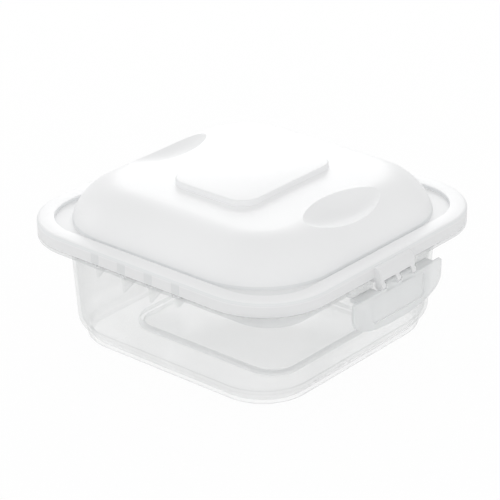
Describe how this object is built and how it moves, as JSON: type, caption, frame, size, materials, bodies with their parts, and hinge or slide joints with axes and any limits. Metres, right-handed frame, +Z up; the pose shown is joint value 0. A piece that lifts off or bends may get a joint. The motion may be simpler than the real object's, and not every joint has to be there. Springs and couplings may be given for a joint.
{
  "type": "clip-lid storage box",
  "caption": "Square clear storage box for freezing milk bags, with a frosted domed lid, finger scoops and swinging clips.",
  "frame": {"origin": "middle of the base, on the surface that the box stands on", "axes": "+Z up, -Y towards the front clip, +X to the right seen from the front; the grip ribs are on the -X and +X sides"},
  "size_m": [0.16, 0.1688, 0.0803],
  "materials": {
    "clear_plastic": "clear moulded polypropylene, polished",
    "frosted_plastic": "frosted natural polypropylene, fine satin",
    "clip_plastic": "natural polypropylene, semi-clear",
    "seal_silicone": "soft clear silicone"
  },
  "bodies": {
    "bowl": {"bowl": "clear_plastic"},
    "lid": {"lid": "frosted_plastic", "seal_ring": "seal_silicone"},
    "front_clip": {"front_clip": "clip_plastic"},
    "back_clip": {"back_clip": "clip_plastic"}
  },
  "joints": [
    {"name": "lid_lift", "type": "slide", "parent": "bowl", "child": "lid", "axis": [0, 0, 1], "range_m": [0, 0.06]},
    {"name": "front_clip_hinge", "type": "hinge", "parent": "lid", "child": "front_clip", "pos_m": [0, -0.0825, 0.05055], "axis": [-1, 0, 0], "range_deg": [0, 100]},
    {"name": "back_clip_hinge", "type": "hinge", "parent": "lid", "child": "back_clip", "pos_m": [0, 0.0825, 0.05055], "axis": [1, 0, 0], "range_deg": [0, 100]}
  ]
}
